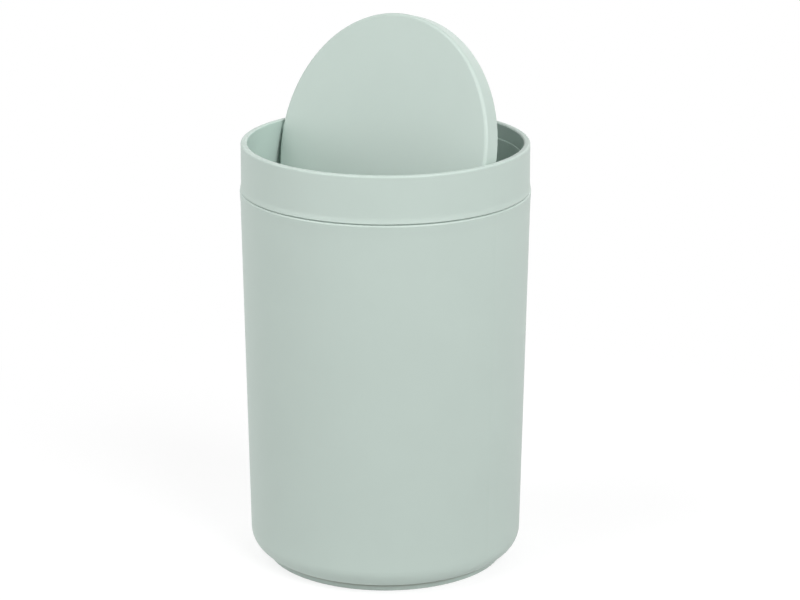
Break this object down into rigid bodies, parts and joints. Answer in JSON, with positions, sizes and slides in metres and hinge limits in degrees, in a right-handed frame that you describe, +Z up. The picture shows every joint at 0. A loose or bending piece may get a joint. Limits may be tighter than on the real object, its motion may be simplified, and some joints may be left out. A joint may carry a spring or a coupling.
{
  "type": "countertop trash can",
  "caption": "Round countertop trash can with a lift-off collar and a thick disc lid that swings on two pins and falls shut flush with the rim.",
  "frame": {"origin": "centre of the foot ring, on the surface that the can stands on", "axes": "+Z up; the lid's hinge line runs along X; the side of the lid that is pushed down faces -Y"},
  "size_m": [0.1315, 0.1316, 0.2509],
  "materials": {
    "can_plastic": "fine satin moulding texture",
    "collar_plastic": "fine satin moulding texture",
    "lid_plastic": "fine satin moulding texture",
    "pin_steel": "drawn stainless steel"
  },
  "bodies": {
    "can": {"can_body": "can_plastic"},
    "collar": {"collar": "collar_plastic"},
    "lid": {"lid_top": "lid_plastic", "lid_base": "lid_plastic", "hinge_pin_left": "pin_steel", "hinge_pin_right": "pin_steel"}
  },
  "joints": [
    {"name": "collar_lift", "type": "slide", "parent": "can", "child": "collar", "axis": [0, 0, 1], "range_m": [0, 0.06]},
    {"name": "lid_swing", "type": "hinge", "parent": "collar", "child": "lid", "pos_m": [0, 0, 0.19155], "axis": [1, 0, 0], "range_deg": [-73.9, 8.1]}
  ]
}
